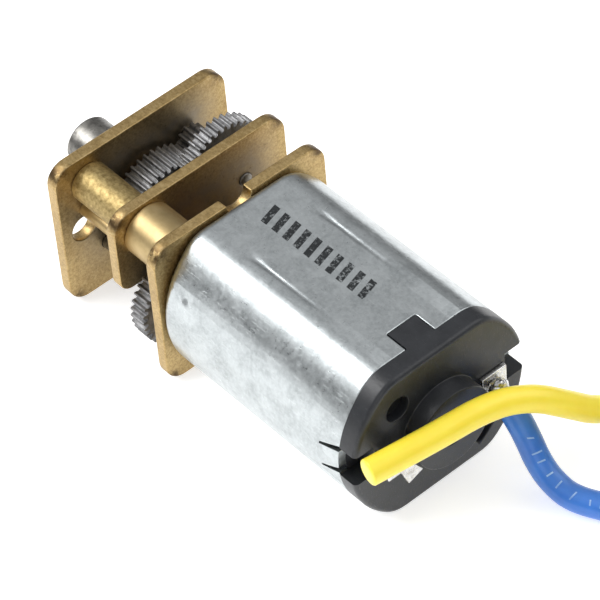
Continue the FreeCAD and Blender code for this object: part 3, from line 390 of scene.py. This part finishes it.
def carve(form, name, cutters):
    """A shape with other closed shapes taken out of it."""
    base = bpy.data.objects.new(f"{name}_base", mesh_from(form, f"{name}_base"))
    scene.collection.objects.link(base)
    tools = []
    for number, cutter in enumerate(cutters):
        tool = bpy.data.objects.new(f"{name}_tool{number}", mesh_from(cutter, f"{name}_tool{number}"))
        scene.collection.objects.link(tool)
        tools.append(tool)
        cutting = base.modifiers.new(f"cut{number}", "BOOLEAN")
        cutting.operation = "DIFFERENCE"
        cutting.solver = "EXACT"
        cutting.object = tool
    done = base.evaluated_get(bpy.context.evaluated_depsgraph_get())
    mesh = bpy.data.meshes.new_from_object(done)
    for item in [base, *tools]:
        bpy.data.objects.remove(item)
    made = bmesh.new()
    made.from_mesh(mesh)
    return made


def softened(node, width, look=None, segments=2, spared=None):
    """A node's own shape with worn edges in place of knife-sharp ones."""
    piece = new_piece(f"{node}_worn", mesh_from(flat_faced(node), node), body_of[node], slot_of[node],
                      look, (node,))
    soft_edges(piece, width, segments, spared=spared)
    return piece


EDGES = {
    "front_plate": 0.07, "mid_plate": 0.07, "rear_plate": 0.07,
    "front_pillar_left": 0.08, "front_pillar_right": 0.08,
    "rear_pillar_left": 0.10, "rear_pillar_right": 0.10,
    "front_dowel_left": 0.03, "front_dowel_right": 0.03,
    "output_bush": 0.08, "thrust_washer": 0.03, "first_axle": 0.05, "third_axle": 0.05,
    "terminal_right": 0.05, "output_shaft": 0.05,
    "output_gear": 0.022, "first_gear": 0.022, "first_pinion": 0.018, "centre_gear": 0.022,
    "centre_pinion": 0.018, "third_gear": 0.022, "third_pinion": 0.018, "motor_pinion": 0.018,
}
LOOKS = {
    "front_pillar_left": "speckled", "front_pillar_right": "speckled",
    "rear_pillar_left": "smooth_brass", "rear_pillar_right": "smooth_brass",
    "front_dowel_left": "smooth_brass", "front_dowel_right": "smooth_brass",
}
for node, width in EDGES.items():
    softened(node, width, LOOKS.get(node))


def cap_outline(along, across, up):
    """The cap's flange, plug and slots keep crisp edges: only its boss and recesses are worn."""
    return along > -24.3 or abs(across) > 4.0 or abs(up) > 4.2


softened("end_cap", 0.06, segments=3, spared=cap_outline)


X, Y, Z = Vector((1, 0, 0)), Vector((0, 1, 0)), Vector((0, 0, 1))
CREASE_FRONT, CREASE_BACK = -12.85, -17.9
CREASE_SIDES = (2.30, -2.42)
CREASE_DEPTH = 0.07
PUNCH = Vector((-10.8, 5.44, 2.54))
PUNCH_DEPTH, PUNCH_REACH = 0.11, 0.24
CAN_FLAT, CAN_SIDE = 4.98, 5.0


def crease(across, along):
    """How deep the can's flat is pressed in, from 0 to 1, along a crease that fades to the back."""
    run = (along - CREASE_FRONT) / (CREASE_BACK - CREASE_FRONT)
    if not -0.06 < run < 1.0:
        return 0.0
    rise = min(1.0, (run + 0.06) / 0.09)
    half_wide = 0.11 + 0.10 * max(0.0, 1.0 - 4.0 * run)
    return rise * (0.45 + 0.55 * (1.0 - run)) * math.exp(-((across / half_wide) ** 2))


def slit_mouth(along, across, up):
    return abs(across) > 5.0 and abs(up) < 1.7


def make_can():
    """The can, with the pressed creases in its flats and a punch mark on its side."""
    form = flat_faced("motor_can")
    first_cut, along_step, across_step, punch_step = -12.4, 0.2, 0.06, 0.08
    cuts = [(first_cut - along_step * n, 0.0, 0.0, X) for n in range(29)]
    cuts += [(0.0, side + across_step * n, 0.0, Y) for side in CREASE_SIDES for n in range(-7, 8)]
    cuts += [(PUNCH.x + punch_step * n, 0.0, 0.0, X) for n in range(-6, 7)]
    cuts += [(0.0, 0.0, PUNCH.z + punch_step * n, Z) for n in range(-6, 7)]
    for along, across, up, facing in cuts:
        everything = form.verts[:] + form.edges[:] + form.faces[:]
        bmesh.ops.bisect_plane(form, geom=everything, dist=0.0001 * MM, plane_co=mm(along, across, up),
                               plane_no=facing)
    for vertex in form.verts:
        spot = vertex.co / MM
        if abs(spot.z) > CAN_FLAT:
            depth = CREASE_DEPTH * max(crease(spot.y - side, spot.x) for side in CREASE_SIDES)
            vertex.co.z -= math.copysign(depth * MM, spot.z)
        elif spot.y > CAN_SIDE:
            vertex.co.y -= PUNCH_DEPTH * MM * math.exp(-(((spot - PUNCH).length / PUNCH_REACH) ** 2))
    piece = new_piece("can_shell", mesh_from(form, "can_shell"), "frame", "can_steel",
                      replaced=("motor_can",))
    soft_edges(piece, 0.08, 2, 40.0, slit_mouth)
    return piece


make_can()


def lathe(profile, place, count=48):
    """A closed solid turned about the x axis of a placing matrix, from (station, radius) corners."""
    form = bmesh.new()
    rings = []
    for station, radius in profile:
        if radius == 0:
            rings.append([form.verts.new(place @ mm(station, 0, 0))])
            continue
        angles = [2 * math.pi * n / count for n in range(count)]
        rings.append([form.verts.new(place @ mm(station, radius * math.cos(angle), radius * math.sin(angle)))
                      for angle in angles])
    for lower, upper in zip(rings, rings[1:]):
        for n in range(count):
            corners = [lower[n % len(lower)], lower[(n + 1) % len(lower)],
                       upper[(n + 1) % len(upper)], upper[n % len(upper)]]
            unique = list(dict.fromkeys(corners))
            if len(unique) > 2:
                form.faces.new(unique)
    bmesh.ops.recalc_face_normals(form, faces=form.faces)
    return form


def block(centre, size, turn=None):
    """A square-edged block, as a cutter or as a shape whose edges are worn afterwards."""
    form = bmesh.new()
    bmesh.ops.create_cube(form, size=1.0)
    turned = turn or Matrix.Identity(4)
    place = Matrix.Translation(mm(*centre)) @ turned @ Matrix.Diagonal((*mm(*size), 1.0))
    bmesh.ops.transform(form, matrix=place, verts=form.verts)
    return form


def joined(forms):
    """Several shapes as one, with their bodies still apart."""
    whole = bmesh.new()
    for form in forms:
        piece = mesh_from(form, "part")
        whole.from_mesh(piece)
        bpy.data.meshes.remove(piece)
    return whole


SCREW_HEAD_DEEP = 0.40
SLOT_WIDE, SLOT_DEEP, SLOT_LONG = 0.24, 0.36, 3.0
FRAME_SCREW_ENDS, MOTOR_SCREW_ENDS = (0.0, -9.05), (-8.35, -10.1)
FRAME_SCREW_SIDE, FRAME_SCREW_HIGH, MOTOR_SCREW_SIDE = 3.8, 3.2, 4.5


def screw(front, tail, side, high, slant, head=0.88, core=0.47):
    """A slotted screw along the shaft's direction, its head at the front, with a domed rim."""
    place = Matrix.Translation(mm(front, side, high))
    body = lathe([(0.0, 0.0), (0.0, head - 0.14), (-0.05, head - 0.04), (-0.12, head),
                  (-SCREW_HEAD_DEEP, head), (-SCREW_HEAD_DEEP, core), (tail - front + 0.1, core),
                  (tail - front, core - 0.12), (tail - front, 0.0)], place)
    turned = Matrix.Rotation(math.radians(slant), 4, "X")
    return carve(body, "screw", [block((front, side, high), (SLOT_DEEP, SLOT_WIDE, SLOT_LONG), turned)])


def make_screws():
    """The frame screws stand in two opposite corners, the motor screws on opposite sides."""
    side, high = FRAME_SCREW_SIDE, FRAME_SCREW_HIGH
    frame_set = joined([screw(*FRAME_SCREW_ENDS, side, high, 25.0),
                        screw(*FRAME_SCREW_ENDS, -side, -high, 70.0)])
    motor_set = joined([screw(*MOTOR_SCREW_ENDS, MOTOR_SCREW_SIDE, 0.0, 10.0),
                        screw(*MOTOR_SCREW_ENDS, -MOTOR_SCREW_SIDE, 0.0, 50.0)])
    for name, form in (("frame_screws", frame_set), ("motor_screws", motor_set)):
        piece = new_piece(f"{name}_slotted", mesh_from(form, name), "frame", "screw_steel", replaced=(name,))
        soft_edges(piece, 0.025)


make_screws()

for node, shown in frame["nodes"].items():
    if not shown.hide_render:
        shown.data.materials.clear()
        shown.data.materials.append(materials[slot_of[node]].material)


# ---------------------------------------------------------------- leads

LEAD = 0.75
COIL_ALONG, COIL_SIDE = -37.4, -13.3
COIL_FLOOR, COIL_LAYER = -4.8, 1.5
TIP_RING, TIP_LENGTH, TIP_RADIUS = 5.8, 2.5, 0.29
YELLOW_ROUTE = [
    (-25.8, 6.05, 1.6),
    (-26.42, 2.5, 1.72),
    (-26.85, -1.4, 1.75),
    (-27.64, -3.64, 1.2),
    (-28.4, -5.25, 0.0),
    (-29.05, -7.05, -1.5),
    (-29.45, -9.9, -2.4),
    (-28.95, -12.5, -2.55),
]
BLUE_ROUTE = [
    (-25.75, -3.45, -0.38),
    (-26.7, -3.43, -1.12),
    (-27.5, -3.38, -2.05),
    (-28.22, -3.3, -3.0),
    (-29.2, -3.3, -3.78),
    (-30.65, -3.45, -4.2),
    (-32.65, -4.5, -4.2),
    (-34.9, -4.95, -4.1),
    (-37.0, -4.87, -4.05),
]


def turns(entry, winding, turned, pitch=1.5, steps=16):
    """The points of a flat spiral that a lead follows from its entry point into its coil."""
    offset = Vector((entry[0] - COIL_ALONG, entry[1] - COIL_SIDE))
    start, reach = math.atan2(offset.y, offset.x), offset.length
    points = []
    for n in range(1, round(turned * steps) + 1):
        share = n / steps
        angle = start + winding * 2 * math.pi * share
        radius = reach - pitch * share
        points.append((COIL_ALONG + radius * math.cos(angle), COIL_SIDE + radius * math.sin(angle), entry[2]))
    return points


def lead(name, points):
    curve = bpy.data.curves.new(name, "CURVE")
    curve.dimensions = "3D"
    spline = curve.splines.new("NURBS")
    spline.points.add(len(points) - 1)
    for point, spot in zip(spline.points, points):
        point.co = (*mm(*spot), 1.0)
    spline.order_u = 3
    spline.use_endpoint_u = True
    curve.resolution_u = 14
    curve.bevel_depth = LEAD * MM
    curve.bevel_resolution = 8
    curve.use_fill_caps = True
    return curve


def line_of(curve):
    """The points that a curve's centre line really follows."""
    bare = curve.copy()
    bare.bevel_depth = 0.0
    holder = bpy.data.objects.new("bare", bare)
    mesh = bpy.data.meshes.new_from_object(holder)
    spots = [vertex.co.copy() for vertex in mesh.vertices]
    bpy.data.objects.remove(holder)
    bpy.data.curves.remove(bare)
    bpy.data.meshes.remove(mesh)
    return spots


def strands(start, heading, length, radius, twist=9.0):
    """Tinned strands twisted together, ending in a rounded tip."""
    form = bmesh.new()
    facing = Vector(heading).to_track_quat("X", "Z").to_matrix().to_4x4()
    place = Matrix.Translation(mm(*start)) @ facing
    stations, count, round_from, groove = 36, 42, 0.86, 0.16
    rings = []
    for n in range(stations + 1):
        share = n / stations
        along = length * share
        past = max(0.0, (share - round_from) / (1.0 - round_from))
        taper = math.sqrt(max(0.02, 1.0 - past**2))
        ring = []
        for k in range(count):
            angle = 2 * math.pi * k / count
            reach = radius * taper * (1.0 - groove + groove * abs(math.cos(3.5 * angle)))
            turned = angle + twist * share
            spot = mm(along, reach * math.cos(turned), reach * math.sin(turned))
            ring.append(form.verts.new(place @ spot))
        rings.append(ring)
    for lower, upper in zip(rings, rings[1:]):
        for k in range(count):
            form.faces.new((lower[k], lower[(k + 1) % count], upper[(k + 1) % count], upper[k]))
    form.faces.new(rings[0])
    form.faces.new(rings[-1])
    bmesh.ops.recalc_face_normals(form, faces=form.faces)
    return form


def print_marks(line, name):
    """Worn dashes printed along a lead, as thin raised strips on its outer side."""
    outward = Vector((-0.62, 0.30, 0.72))
    half_stroke, proud, most = 0.045, 0.008, 30
    form = bmesh.new()
    travelled, next_mark, marks = 0.0, 2.2 * MM, 0
    for before, after in zip(line, line[1:]):
        step = after - before
        travelled += step.length
        if travelled < next_mark or marks > most:
            continue
        marks += 1
        next_mark = travelled + random.uniform(0.55, 1.0) * MM
        along = step.normalized()
        facing = (outward - along * outward.dot(along)).normalized()
        side = along.cross(facing)
        reach, slant = random.uniform(0.16, 0.30), random.uniform(-0.5, 0.5)
        rows = []
        for lean in (-2, -1, 0, 1, 2):
            angle = lean * reach / LEAD / 2
            normal = facing * math.cos(angle) + side * math.sin(angle)
            middle = after + along * slant * lean * reach / 2 * MM + normal * (LEAD + proud) * MM
            rows.append([form.verts.new(middle + along * half * MM) for half in (-half_stroke, half_stroke)])
        for lower, upper in zip(rows, rows[1:]):
            form.faces.new((lower[0], lower[1], upper[1], upper[0]))
    return new_piece(name, mesh_from(form, name), "frame", "blue_pvc", "print")


def make_tip(which, facing, winding, layer):
    """The bare end of a lead, at an angle round the coil, turned in towards its middle."""
    turned = math.radians(facing)
    outward = Vector((math.cos(turned), math.sin(turned), 0))
    along = Vector((-math.sin(turned), math.cos(turned), 0)) * winding
    inwards = math.radians(35.0)
    spot = Vector((COIL_ALONG, COIL_SIDE, COIL_FLOOR + layer * COIL_LAYER)) + outward * TIP_RING
    heading = along * math.cos(inwards) - outward * math.sin(inwards)
    form = strands(spot, heading, TIP_LENGTH, TIP_RADIUS)
    name = f"{which}_tip"
    return new_piece(f"{name}_strands", mesh_from(form, name), "frame", "tinned", replaced=(name,))


def make_tie():
    """A strap with rounded corners round the coil, with its small head on the coil's inner side."""
    low, high = (Vector(corner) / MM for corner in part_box("lead_tie"))
    middle, half = (low + high) / 2, (high - low) / 2
    form = bmesh.new()
    rounding, skin, steps = 1.1, 0.2, 8
    loops = []
    for inset, across in ((0.0, -1), (0.0, 1), (skin, 1), (skin, -1)):
        ring = []
        for corner in range(4):
            lean = (1, -1, -1, 1)[corner], (1, 1, -1, -1)[corner]
            for n in range(steps + 1):
                angle = math.pi / 2 * (corner + n / steps)
                radius = rounding - inset
                spot = (middle.x + lean[0] * (half.x - rounding) + radius * math.cos(angle),
                        middle.y + across * (half.y - 0.1),
                        middle.z + lean[1] * (half.z - rounding) + radius * math.sin(angle))
                ring.append(form.verts.new(mm(*spot)))
        loops.append(ring)
    for ring, after in zip(loops, loops[1:] + loops[:1]):
        for n in range(len(ring)):
            form.faces.new((ring[n], ring[(n + 1) % len(ring)], after[(n + 1) % len(ring)], after[n]))
    bmesh.ops.recalc_face_normals(form, faces=form.faces)
    head = block((high.x + 0.18, middle.y, middle.z + 0.5), (0.9, 1.5, 1.1))
    tail = block((high.x + 0.25, middle.y, middle.z - 0.35), (0.22, 1.1, 1.4))
    piece = new_piece("tie_strap", mesh_from(joined([form, head, tail]), "tie_strap"), "frame",
                      slot_of["lead_tie"], replaced=("lead_tie",))
    soft_edges(piece, 0.06, 3)
    return piece


def make_leads():
    tie = make_tie()
    yellow_points = YELLOW_ROUTE + turns(YELLOW_ROUTE[-1], -1, 1.42)
    blue_points = BLUE_ROUTE + turns(BLUE_ROUTE[-1], 1, 1.5)
    yellow_tip = make_tip("yellow", 215.0, -1, 1.5)
    blue_tip = make_tip("blue", 267.0, 1, 0.5)
    yellow = new_piece("yellow_cord", lead("yellow_cord", yellow_points), "frame", "yellow_pvc",
                       replaced=("yellow_lead", "yellow_coil"))
    blue = new_piece("blue_cord", lead("blue_cord", blue_points), "frame", "blue_pvc",
                     replaced=("blue_lead", "blue_coil"))
    marks = print_marks(line_of(blue.data), "blue_print")
    end_from, end_to = mm(*YELLOW_ROUTE[1]), mm(*YELLOW_ROUTE[0])
    facing = (end_to - end_from).to_track_quat("X", "Z").to_matrix().to_4x4()
    rounded = lathe([(-0.05, LEAD), (0.0, LEAD), (0.05, 0.71), (0.09, 0.62), (0.11, 0.45), (0.12, 0.0)],
                    Matrix.Translation(end_to) @ facing)
    yellow_end = new_piece("yellow_end", mesh_from(rounded, "yellow_end"), "frame", "yellow_pvc")
    cords = (
        (yellow, yellow_tip, yellow_points, [tie, yellow_end]),
        (blue, blue_tip, blue_points, [marks]),
    )
    for cord, tip, points, pieces in cords:
        line = line_of(cord.data)


make_leads()


def blob(name, centre, size, seed, node):
    """A bead of solder: a ball swollen unevenly by noise, with its half sizes in millimetres."""
    form = bmesh.new()
    bmesh.ops.create_icosphere(form, subdivisions=5, radius=1.0)
    for vertex in form.verts:
        spot = vertex.co.copy()
        lumps, ripples = noise.noise(spot * 1.3 + Vector((seed, 0, 0))), noise.noise(spot * 4.0)
        swell = 0.86 + 0.16 * lumps + 0.05 * ripples
        vertex.co = mm(*centre) + Vector([a * b * swell * MM for a, b in zip(spot, size)])
    return new_piece(name, mesh_from(form, name), "frame", "solder", replaced=(node,))


softened("terminal_left", 0.06)
blob("solder_left_bead", (-25.62, 3.6, 0.65), (0.24, 0.60, 0.60), 3.0, "solder_left")
blob("solder_right_bead", (-25.2, -3.5, 0.0), (0.55, 0.72, 0.74), 8.0, "solder_right")


# ---------------------------------------------------------------- floor, lights and camera


FLOOR_GAP = 0.00001
LIT_SPOT = Vector((-0.013, 0, 0))


def make_floor():
    """A pale floor just under the object, which glows a little so that it shows as white."""
    form = bmesh.new()
    bmesh.ops.create_grid(form, x_segments=8, y_segments=8, size=0.8)
    bmesh.ops.translate(form, vec=Vector((-0.02, 0, cad_box[0][2] - FLOOR_GAP)), verts=form.verts)
    mesh = mesh_from(form, "floor")
    floor = bpy.data.objects.new("floor", mesh)
    scene.collection.objects.link(floor)
    shade = Shade("floor", Roughness=0.75, Emission_Color=(1.0, 1.0, 1.0), Emission_Strength=0.56)
    shade.set("Base Color", shade.blend(shade.noise(0.05, 3.0), (0.86, 0.86, 0.86), (0.90, 0.90, 0.89)))
    mesh.materials.append(shade.material)


def softbox(name, towards, distance, size, radiance, tint=(1.0, 1.0, 1.0)):
    """A rectangular area light that faces the object's middle."""
    lamp = bpy.data.lights.new(name, "AREA")
    lamp.shape = "RECTANGLE"
    lamp.size, lamp.size_y = size
    lamp.energy = radiance * math.pi * size[0] * size[1]
    lamp.color = tint
    holder = bpy.data.objects.new(name, lamp)
    scene.collection.objects.link(holder)
    heading = Vector(towards).normalized()
    holder.location = LIT_SPOT + heading * distance
    holder.rotation_euler = heading.to_track_quat("Z", "Y").to_euler()


def make_world():
    """A grey surround, dark below and lighter towards the top."""
    world = bpy.data.worlds.new("studio")
    scene.world = world
    world.use_nodes = True
    nodes, links = world.node_tree.nodes, world.node_tree.links
    direction = nodes.new("ShaderNodeTexCoord").outputs["Generated"]
    parts = nodes.new("ShaderNodeSeparateXYZ")
    links.new(direction, parts.inputs[0])
    ramp = nodes.new("ShaderNodeValToRGB")
    links.new(parts.outputs[2], ramp.inputs[0])
    stops = ((0.0, 0.20), (0.28, 0.20), (0.55, 0.48), (0.80, 0.62), (1.0, 0.70))
    for place, _ in stops[1:-1]:
        ramp.color_ramp.elements.new(place)
    for element, (place, grey) in zip(ramp.color_ramp.elements, stops):
        element.position = place
        element.color = (grey, grey, grey * 1.01, 1.0)
    links.new(ramp.outputs[0], nodes["Background"].inputs["Color"])
    nodes["Background"].inputs["Strength"].default_value = 1.0


CAMERA_LENS = 239.6
CAMERA_PLACE = Vector((-0.12956, 0.088505, 0.154459))
CAMERA_TURN = (43.349, 3.718, -131.262)


def make_camera():
    """A long lens above the rear of the motor's left side, with its turns about X, Y and Z in degrees."""
    lens = bpy.data.cameras.new("camera")
    lens.lens = CAMERA_LENS
    lens.sensor_width = 36.0
    lens.clip_start, lens.clip_end = 0.005, 5.0
    holder = bpy.data.objects.new("camera", lens)
    scene.collection.objects.link(holder)
    turn = Euler([math.radians(angle) for angle in CAMERA_TURN])
    holder.matrix_world = Matrix.Translation(CAMERA_PLACE) @ turn.to_matrix().to_4x4()
    scene.camera = holder


make_floor()
make_world()
softbox("key", (0.50, 0.46, 0.74), 0.40, (0.28, 0.24), 5.6)
softbox("fill", (-0.35, -0.75, 0.80), 0.45, (0.35, 0.35), 1.3)
softbox("back", (-0.80, 0.55, 0.50), 0.50, (0.30, 0.30), 1.1)
make_camera()
scene.view_settings.view_transform = "Standard"
